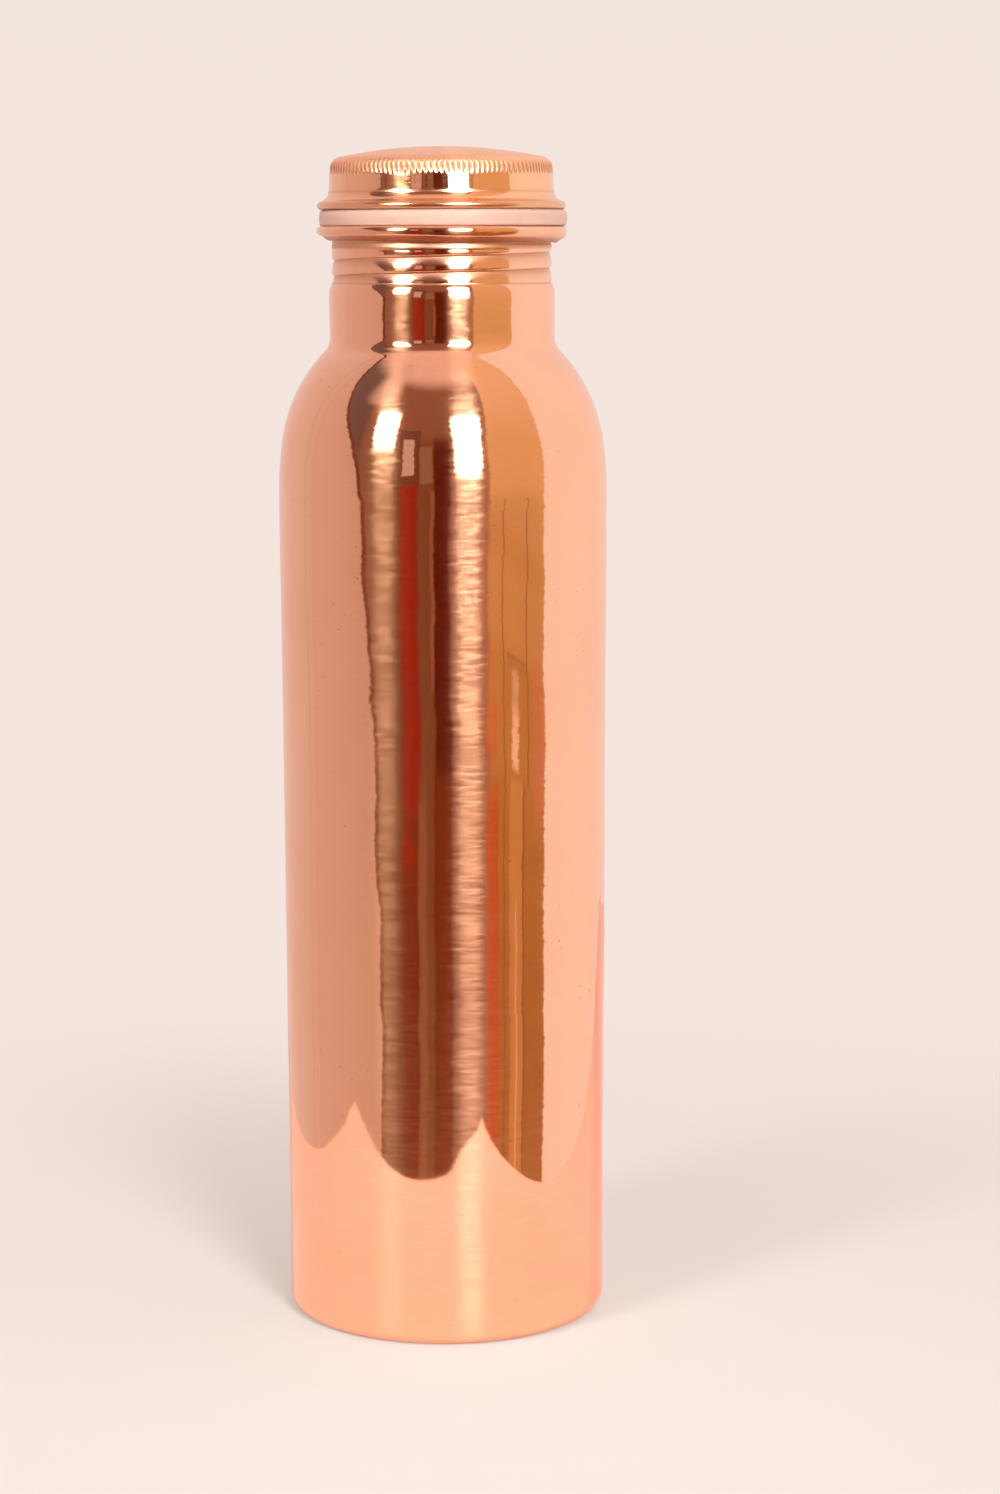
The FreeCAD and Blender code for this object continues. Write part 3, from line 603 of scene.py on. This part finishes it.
def turned_lines(graph, where, across, along, detail, roughness):
    """Noise drawn out round the axis: fast across the lines, and slow along them."""
    scaled = [graph.math("MULTIPLY", value, scale) for value, scale in zip(where, (along, along, across))]
    return graph.noise(graph.vector(*scaled), 1, detail, roughness)


def tilted_sideways(graph, where, amount):
    """The surface's normal, turned about the axis by a small amount."""
    x, y, _ = where
    sideways = graph.vector(graph.math("MULTIPLY", y, -1.0), x, 0.0)
    turn = graph.add("ShaderNodeVectorMath", {0: sideways, "Scale": amount}, operation="SCALE")
    normal = graph.add("ShaderNodeNewGeometry", output=1)
    total = graph.add("ShaderNodeVectorMath", {0: normal, 1: turn}, operation="ADD")
    return graph.add("ShaderNodeVectorMath", {0: total}, operation="NORMALIZE")


def copper(name, polish, brush, satin_from=None, tone=COPPER):
    """Polished copper: a sharp mirror of roughness polish, and a share, brush, that turning lines spread.

    From the height satin_from up, in millimetres, the surface is satin."""
    material, graph = new_material(name)
    place = graph.add("ShaderNodeTexCoord", output=3)
    where = round_the_axis(graph, place)
    hairlines = turned_lines(graph, where, *HAIRLINES)
    bands = turned_lines(graph, where, *BANDS)
    comb = graph.math("SUBTRACT", turned_lines(graph, where, *COMB), 0.5)
    patches = graph.noise(place, 38, 3)
    specks = graph.between(graph.noise(place, 900, 1), 0.72, 0.76)
    specks = graph.math("MULTIPLY", specks, graph.between(graph.noise(place, 60, 1), 0.52, 0.6))
    attribute = graph.add("ShaderNodeAttribute", output=2, attribute_name="painted_shade")

    worn = graph.math("MULTIPLY", graph.between(patches, 0.45, 0.75), 0.25)
    colour = graph.mix(worn, tone, WORN_COPPER)
    colour = graph.mix(graph.between(hairlines, 0.3, 0.75, 0.0, 0.04), colour, WORN_COPPER)
    # Painted shade from the mesh's attribute, and tarnish specks, darken the colour towards one dark tone.
    dark = graph.math("MULTIPLY", attribute, SHADE_DARKENS)
    dark = graph.math("ADD", dark, graph.math("MULTIPLY", specks, SPECKS_COLOUR))
    colour = graph.mix(graph.math("MINIMUM", dark, DARKEST), colour, SHADE_AND_SPECK_TONE)

    roughness = graph.math("ADD", polish, graph.math("MULTIPLY", graph.between(patches, 0.4, 0.8), 0.03))
    roughness = graph.math("ADD", roughness, graph.math("MULTIPLY", attribute, SHADE_DULLS))
    share = graph.math("MULTIPLY", graph.between(hairlines, 0.33, 0.67, 0.6, 1.4), brush)
    share = graph.math("MULTIPLY", share, graph.between(bands, 0.3, 0.7, 0.85, 1.15))
    if satin_from is not None:
        height = graph.split(place)[2]
        satin = graph.between(height, satin_from * MM, (satin_from + SATIN_FADE) * MM)
        roughness = graph.math("ADD", roughness, graph.math("MULTIPLY", satin, SATIN_ROUGHNESS))
        kept = graph.math("SUBTRACT", 1.0, graph.math("MULTIPLY", satin, SATIN_LOSS))
        share = graph.math("MULTIPLY", share, kept)

    sharp = {
        "Base Color": colour,
        "Metallic": 1.0,
        "Roughness": roughness,
        "Normal": tilted_sideways(graph, where, graph.math("MULTIPLY", comb, MIRROR_COMB)),
    }
    spread = {
        "Base Color": graph.mix(0.5, colour, WARM_COPPER),
        "Metallic": 1.0,
        "Roughness": SPREAD_ROUGHNESS,
        "Normal": tilted_sideways(graph, where, graph.math("MULTIPLY", comb, SPREAD_COMB)),
        "Anisotropic": 1.0,
        "Anisotropic Rotation": 0.25,
        "Tangent": graph.add("ShaderNodeTangent", direction_type="RADIAL", axis="Z"),
    }
    surfaces = [graph.add("ShaderNodeBsdfPrincipled", inputs) for inputs in (sharp, spread)]
    surface = graph.add("ShaderNodeMixShader", {0: share, 1: surfaces[0], 2: surfaces[1]})
    graph.add("ShaderNodeOutputMaterial", {"Surface": surface})
    return material


def silicone():
    """Cloudy translucent silicone with a faint bloom."""
    material, graph = new_material("silicone")
    place = graph.add("ShaderNodeTexCoord", output=3)
    cloud = graph.noise(place, 160, 3)
    dust = graph.noise(place, 2600, 2)
    colour = graph.mix(cloud, CLOUDY_SILICONE, CLEAR_SILICONE)
    bump = graph.add("ShaderNodeBump", {"Height": dust, "Strength": 0.08, "Distance": 0.03 * MM})
    surface = graph.add(
        "ShaderNodeBsdfPrincipled",
        {
            "Base Color": colour,
            "Roughness": graph.between(cloud, 0.3, 0.7, 0.38, 0.5),
            "IOR": 1.41,
            "Subsurface Weight": 0.6,
            "Subsurface Radius": (1.0, 0.65, 0.5),
            "Subsurface Scale": 2.2 * MM,
            "Normal": bump,
        },
    )
    graph.add("ShaderNodeOutputMaterial", {"Surface": surface})
    return material


# ---------------------------------------------------------------- the studio

# The room that the copper mirrors. Directions are in degrees to the right of the camera, as the bottle sees
# it, and heights are the sine of the elevation. A tone is the brightness of red, green and blue.
MIDDLE_TONES = (
    (-76, (0.17, 0.11, 0.10)),
    (-62, (0.17, 0.09, 0.08)),
    (-58, (0.28, 0.12, 0.08)),
    (-50, (0.26, 0.13, 0.07)),
    (-30, (0.16, 0.055, 0.022)),
    (-27.5, (0.33, 0.018, 0.003)),
    (-17, (0.30, 0.018, 0.003)),
    (-16, (0.20, 0.085, 0.045)),
    (-7, (0.22, 0.070, 0.022)),
    (-5.5, (0.105, 0.006, 0.0)),
    (4, (0.100, 0.006, 0.0)),
    (7, (0.24, 0.09, 0.055)),
    (29, (0.30, 0.12, 0.07)),
    (34, (0.55, 0.24, 0.08)),
)
LEFT_WALL_TONES = (
    (-150, (0.84, 0.64, 0.59)),
    (-117, (0.78, 0.57, 0.52)),
    (-112, (0.77, 0.56, 0.50)),
    (-111, (0.68, 0.47, 0.41)),
    (-110, (0.77, 0.55, 0.49)),
    (-104, (0.76, 0.53, 0.46)),
    (-103, (0.69, 0.47, 0.39)),
    (-102, (0.75, 0.52, 0.44)),
    (-77, (0.71, 0.475, 0.39)),
    (-50, (0.67, 0.44, 0.335)),
)
RIGHT_WALL_TONES = (
    (50, (1.05, 0.86, 0.76)),
    (78, (1.06, 0.86, 0.76)),
    (110, (1.08, 0.89, 0.79)),
    (150, (1.00, 0.80, 0.72)),
    (180, (0.84, 0.68, 0.62)),
)
PANEL_TONES = (
    (-0.25, (0.40, 0.155, 0.035)),
    (-0.19, (0.47, 0.20, 0.050)),
    (-0.13, (0.59, 0.28, 0.085)),
    (-0.085, (0.70, 0.40, 0.17)),
    (0.0, (0.82, 0.48, 0.22)),
    (0.3, (0.84, 0.50, 0.25)),
    (0.8, (0.94, 0.58, 0.34)),
)
# Things in the room: left, right, lowest, highest, how soft their sides are in degrees, strength, and tone.
THINGS = (
    (-28.5, -17, -0.40, -0.184, 2.0, 0.8, (0.14, 0.030, 0.007)),
    (-18, -12, -0.40, -0.170, 0.8, 0.8, (0.30, 0.13, 0.055)),
    (-7.6, -5.2, -0.130, -0.020, 1.4, 0.6, (0.42, 0.16, 0.11)),
    (-5.5, 4.5, -0.40, -0.165, 2.0, 0.8, (0.20, 0.035, 0.003)),
    (-31, -16, 0.02, 0.40, 1.0, 0.85, (0.15, 0.055, 0.03)),
    (-28, -20, 0.07, 0.30, 0.6, 0.8, (0.80, 0.56, 0.48)),
    (-16, -7, 0.02, 0.24, 1.5, 0.7, (0.34, 0.20, 0.12)),
    (-68, -44, 0.62, 0.97, 14.0, 0.9, (0.80, 0.54, 0.45)),
    (30.5, 39.5, -0.40, -0.171, 1.0, 0.85, (0.55, 0.09, 0.015)),
    (29.5, 38, -0.150, -0.138, 1.5, 0.7, (0.72, 0.12, 0.02)),
    (43.0, 43.7, -0.40, -0.061, 0.5, 0.75, (0.16, 0.06, 0.015)),
    (61.2, 61.9, -0.16, -0.061, 0.5, 0.8, (0.14, 0.05, 0.012)),
    (46, 61, -0.127, -0.124, 0.8, 0.7, (0.20, 0.09, 0.03)),
    (46, 61, -0.133, -0.131, 0.8, 0.7, (0.20, 0.09, 0.03)),
    (49, 54, -0.150, -0.137, 1.5, 0.9, (1.10, 0.80, 0.55)),
    (47.5, 57.5, -0.40, -0.160, 0.8, 0.55, (0.74, 0.38, 0.13)),
    (57.5, 58.6, -0.40, -0.160, 0.5, 0.7, (0.18, 0.07, 0.02)),
    (52.0, 52.8, -0.40, -0.200, 0.4, 0.8, (1.00, 0.62, 0.34)),
    (67.0, 75.0, -0.175, -0.122, 3.0, 0.7, (0.66, 0.22, 0.12)),
)
# The edge of the left wall: its direction at each height.
LEFT_EDGE = (
    (-0.216, -45.5),
    (-0.131, -52.0),
    (-0.068, -59.0),
    (-0.022, -60.5),
    (0.10, -62.0),
    (0.25, -69.0),
    (0.50, -83.0),
    (0.80, -99.0),
    (0.90, -107.0),
)
LEFT_EDGE_TONE = (0.18, 0.03, 0.010)
BEAMS = (0.29, 0.115, 0.07)
CEILING = (0.93, 0.61, 0.50)
# Where one tone starts giving way to another and where it has done so, as a pair of heights or directions.
BEAM_HEIGHTS = (0.2, 0.4)
BEAM_DIRECTIONS = (-62, -54)
CEILING_OVER_MIDDLE = (0.8, 0.92)
CEILING_OVER_ALL = (0.93, 0.97)
PANEL_EDGE = (32, 34.5)
# The right wall's edge, and the fade beyond it.
RIGHT_WALL_EDGE = 75.0
RIGHT_WALL_FADE = (0.0, 1.5)
# About the left wall's edge, in degrees: where the wall ends, and the dark line's sides and softness.
LEFT_WALL_FADE = (-0.6, 0.4)
LEFT_EDGE_LINE = (-0.9, 2.1, 1.5)
# The edges of the panel and the right wall lean to the right between these heights, by these degrees.
LEAN_HEIGHTS = (0.2, 0.87)
PANEL_LEAN = 6.0
RIGHT_WALL_LEAN = 8.0
# Low down, directions waver within this many degrees in all, as seen in a wall that isn't quite true.
WAVER = 9.0
WAVER_WAVES = 16
WAVER_FADE = (-0.045, -0.015)
# How soft a thing's top and bottom are for each degree of softness at its sides.
THING_SOFTNESS = 0.006

FLOOR_PAINT = (0.55, 0.59, 0.62)
FLOOR_TONE = (0.905, 0.785, 0.73)
WALL_TONE = (0.87, 0.79, 0.74)
TABLETOP_PAINT = (0.79, 0.60, 0.565)
# The backdrop: its floor's radius, the round of its sweep, and its height, and how far below the foot it is.
STAGE_R = 1500.0
STAGE_SWEEP = 900.0
STAGE_TOP = 3000.0
STAGE_GAP = 0.02
# In metres: where the floor turns from matt to glowing, and the height that has the wall's tone.
FLOOR_GLOWS = (0.03, 0.35)
LEAST_GLOW = 0.35
WALL_TONE_HEIGHT = 1.2
# The tabletop's sides, from the bottle's axis.
TABLE_FRONT = 174.0
TABLE_RIGHT = 161.0
TABLE_LEFT = 176.0
TABLE_BACK = 500.0
TABLE_GAP = 0.03
TABLE_TURN = math.radians(18)

# A softbox's light fades between these distances from its middle, as shares of its width.
SOFTBOX_FADE = (0.16, 0.5)
SOFTBOX_BOOST = 1.7
# In metres, from the bottle's shoulder.
SOFTBOX_DISTANCE = 1.5
LEFT_LIGHT = (1, 0.91, 0.80)
RIGHT_LIGHT = (1, 0.94, 0.89)

# The camera looks down at the bottle from a little to its right. Its place is in metres, and its lens and
# sensor are in millimetres.
CAMERA_PLACE = (0.01314, -0.7927, 0.2473)
CAMERA_DOWN = math.radians(8.32)
CAMERA_ROLL = 0.003
CAMERA_LENS = 83.9
CAMERA_SENSOR = 36


class Room(Graph):
    """The node tree of the room, with the direction that a ray leaves in."""

    def __init__(self, tree):
        super().__init__(tree)
        x, y, self.height = self.split(self.add("ShaderNodeTexCoord"))
        waver = self.noise(self.vector(0.0, 0.0, self.height), WAVER_WAVES, 4)
        waver = self.math("MULTIPLY", self.math("SUBTRACT", waver, 0.5), WAVER)
        waver = self.math("MULTIPLY", waver, self.between(self.height, *WAVER_FADE, 1.0, 0.0))
        angle = self.math("ARCTAN2", x, self.math("MULTIPLY", y, -1.0))
        self.angle = self.math("ADD", self.math("MULTIPLY", angle, 360 / TURN), waver)

    def tones_round(self, tones):
        """Tones by direction."""
        position = self.math("ADD", self.math("DIVIDE", self.angle, 360.0), 0.5)
        return self.ramp(position, [(0.5 + degrees / 360, tone) for degrees, tone in tones])

    def tones_up(self, tones):
        """Tones by height."""
        position = self.math("MULTIPLY", self.math("ADD", self.height, 1.0), 0.5)
        return self.ramp(position, [(0.5 + height / 2, tone) for height, tone in tones])

    def angle_up(self, table):
        """A direction by height, from a table of directions to the left."""
        half_turn = self.tones_up([(height, (degrees / -180,) * 3) for height, degrees in table])
        return self.math("MULTIPLY", half_turn, -180.0)

    def within(self, value, low, high, soft):
        """1 between two values, 0 outside them."""
        rise = self.between(value, low - soft / 2, low + soft / 2)
        fall = self.between(value, high - soft / 2, high + soft / 2, 1.0, 0.0)
        return self.math("MULTIPLY", rise, fall)

    def with_thing(self, colour, left, right, low, high, soft, strength, tone):
        """The colour so far, with a patch of another tone over it."""
        patch = self.math("MULTIPLY", self.within(self.angle, left, right, soft), strength)
        patch = self.math("MULTIPLY", patch, self.within(self.height, low, high, soft * THING_SOFTNESS))
        return self.mix(patch, colour, tone)


def make_world():
    """The room: dark strips and a golden panel behind the camera, a pink wall left, a bright one right."""
    world = bpy.data.worlds.new("studio")
    world.use_nodes = True
    bpy.context.scene.world = world
    room = Room(world.node_tree)
    height, angle = room.height, room.angle

    lean = room.math("POWER", room.between(height, *LEAN_HEIGHTS, 0.0, 1.0, "LINEAR"), 2.0)
    middle = room.tones_round(MIDDLE_TONES)
    beams = room.math("MULTIPLY", room.between(height, *BEAM_HEIGHTS), room.between(angle, *BEAM_DIRECTIONS))
    middle = room.mix(beams, middle, BEAMS)
    middle = room.mix(room.between(height, *CEILING_OVER_MIDDLE), middle, CEILING)
    straightened = room.math("SUBTRACT", angle, room.math("MULTIPLY", lean, PANEL_LEAN))
    colour = room.mix(room.between(straightened, *PANEL_EDGE), middle, room.tones_up(PANEL_TONES))
    for thing in THINGS:
        colour = room.with_thing(colour, *thing)

    beyond = room.math("SUBTRACT", angle, room.angle_up(LEFT_EDGE))
    left_side = room.between(beyond, *LEFT_WALL_FADE, 1.0, 0.0)
    colour = room.mix(left_side, colour, room.tones_round(LEFT_WALL_TONES))
    colour = room.mix(room.within(beyond, *LEFT_EDGE_LINE), colour, LEFT_EDGE_TONE)

    right_edge = room.math("ADD", room.math("MULTIPLY", lean, RIGHT_WALL_LEAN), RIGHT_WALL_EDGE)
    right_side = room.between(room.math("SUBTRACT", angle, right_edge), *RIGHT_WALL_FADE)
    colour = room.mix(right_side, colour, room.tones_round(RIGHT_WALL_TONES))
    colour = room.mix(room.between(height, *CEILING_OVER_ALL), colour, CEILING)
    background = room.add("ShaderNodeBackground", {"Color": colour, "Strength": 1.0})
    room.add("ShaderNodeOutputWorld", {"Surface": background})


def pale(name, colour):
    """A plain pale matt surface."""
    material, graph = new_material(name)
    surface = graph.add("ShaderNodeBsdfDiffuse", {"Color": (*colour, 1)})
    graph.add("ShaderNodeOutputMaterial", {"Surface": surface})
    return material


def pale_backdrop():
    """A matt floor round the bottle that turns into an even glow further off, as a plain ground."""
    material, graph = new_material("pale_backdrop")
    x, y, z = graph.split(graph.add("ShaderNodeTexCoord", output=3))
    glow = graph.mix(graph.between(z, 0.0, WALL_TONE_HEIGHT), FLOOR_TONE, WALL_TONE)
    matt = graph.add("ShaderNodeBsdfDiffuse", {"Color": (*FLOOR_PAINT, 1)})
    even = graph.add("ShaderNodeEmission", {"Color": glow})
    share = graph.between(graph.length(x, y), *FLOOR_GLOWS, LEAST_GLOW)
    surface = graph.add("ShaderNodeMixShader", {0: share, 1: matt, 2: even})
    graph.add("ShaderNodeOutputMaterial", {"Surface": surface})
    return material


def make_stage():
    """A pale round backdrop for the camera, and a pale tabletop that only the copper mirrors."""
    sweep = joined(
        line((0, 0), (STAGE_R, 0), 6),
        arc((STAGE_R, STAGE_SWEEP), STAGE_SWEEP, -90, 0, 16),
        line((STAGE_R + STAGE_SWEEP, STAGE_SWEEP), (STAGE_R + STAGE_SWEEP, STAGE_TOP), 3),
        [(0, STAGE_TOP)],
    )
    backdrop = lathe("backdrop", sweep, 96)
    backdrop.data.flip_normals()
    backdrop.data.materials.append(pale_backdrop())
    backdrop.location.z = -STAGE_GAP * MM
    backdrop.visible_glossy = False
    backdrop.visible_diffuse = False
    backdrop.visible_shadow = False

    near_side = [(-TABLE_LEFT, -TABLE_FRONT), (TABLE_RIGHT, -TABLE_FRONT)]
    corners = near_side + [(TABLE_RIGHT, TABLE_BACK), (-TABLE_LEFT, TABLE_BACK)]
    cos, sin = math.cos(-TABLE_TURN), math.sin(-TABLE_TURN)
    points = [(MM * (x * cos - y * sin), MM * (x * sin + y * cos), -TABLE_GAP * MM) for x, y in corners]
    mesh = bpy.data.meshes.new("tabletop")
    mesh.from_pydata(points, [], [(0, 1, 2, 3)])
    tabletop = bpy.data.objects.new("tabletop", mesh)
    bpy.context.scene.collection.objects.link(tabletop)
    tabletop.data.materials.append(pale("pale_tabletop", TABLETOP_PAINT))
    tabletop.visible_camera = False
    tabletop.visible_shadow = False


def softbox(name, azimuth, elevation, wide, tall, brightness, colour):
    """A rectangular light that fades at its rims, placed and sized in degrees from the bottle's shoulder."""
    a, e = math.radians(azimuth), math.radians(elevation)
    way = np.array([math.sin(a) * math.cos(e), -math.cos(a) * math.cos(e), math.sin(e)])
    data = bpy.data.lights.new(name, "AREA")
    data.shape = "RECTANGLE"
    data.size = 2 * SOFTBOX_DISTANCE * math.tan(math.radians(wide / 2))
    data.size_y = 2 * SOFTBOX_DISTANCE * math.tan(math.radians(tall / 2))
    data.energy = brightness * math.pi * data.size * data.size_y
    data.color = colour
    data.use_nodes = True
    graph = Graph(data.node_tree)
    across, along, _ = graph.split(graph.add("ShaderNodeNewGeometry", output=5))
    from_middle = [graph.math("ABSOLUTE", graph.math("SUBTRACT", side, 0.5)) for side in (across, along)]
    rims = [graph.between(side, *SOFTBOX_FADE, SOFTBOX_BOOST, 0.0) for side in from_middle]
    emission = graph.add("ShaderNodeEmission", {"Strength": graph.math("MULTIPLY", *rims)})
    graph.add("ShaderNodeOutputLight", {"Surface": emission})
    light = bpy.data.objects.new(name, data)
    light.location = way * SOFTBOX_DISTANCE + np.array([0, 0, SHOULDER_Z * MM])
    light.rotation_mode = "QUATERNION"
    light.rotation_quaternion = Vector(way).to_track_quat("Z", "Y")
    light.visible_camera = False
    bpy.context.scene.collection.objects.link(light)


def make_lights():
    softbox("left_softbox", azimuth=-42, elevation=23.5, wide=18, tall=26, brightness=12, colour=LEFT_LIGHT)
    softbox("right_softbox", azimuth=18.5, elevation=20, wide=22, tall=35, brightness=15, colour=RIGHT_LIGHT)


def make_camera():
    data = bpy.data.cameras.new("camera")
    data.lens = CAMERA_LENS
    data.sensor_width = CAMERA_SENSOR
    camera = bpy.data.objects.new("camera", data)
    camera.location = CAMERA_PLACE
    camera.rotation_euler = (math.pi / 2 - CAMERA_DOWN, CAMERA_ROLL, 0)
    bpy.context.scene.collection.objects.link(camera)
    bpy.context.scene.camera = camera


# ---------------------------------------------------------------- the scene


def main():
    bpy.context.scene.view_settings.view_transform = "Standard"
    make_bottle().data.materials.append(copper("polished_copper", polish=0.03, brush=0.14))
    make_seal().data.materials.append(silicone())
    lid_copper = copper("lid_copper", polish=0.06, brush=0.22, satin_from=SATIN_Z, tone=LID_COPPER)
    make_cap().data.materials.append(lid_copper)
    make_plug().data.materials.append(copper("plug_copper", polish=0.12, brush=0.35))
    make_stage()
    make_world()
    make_lights()
    make_camera()


main()
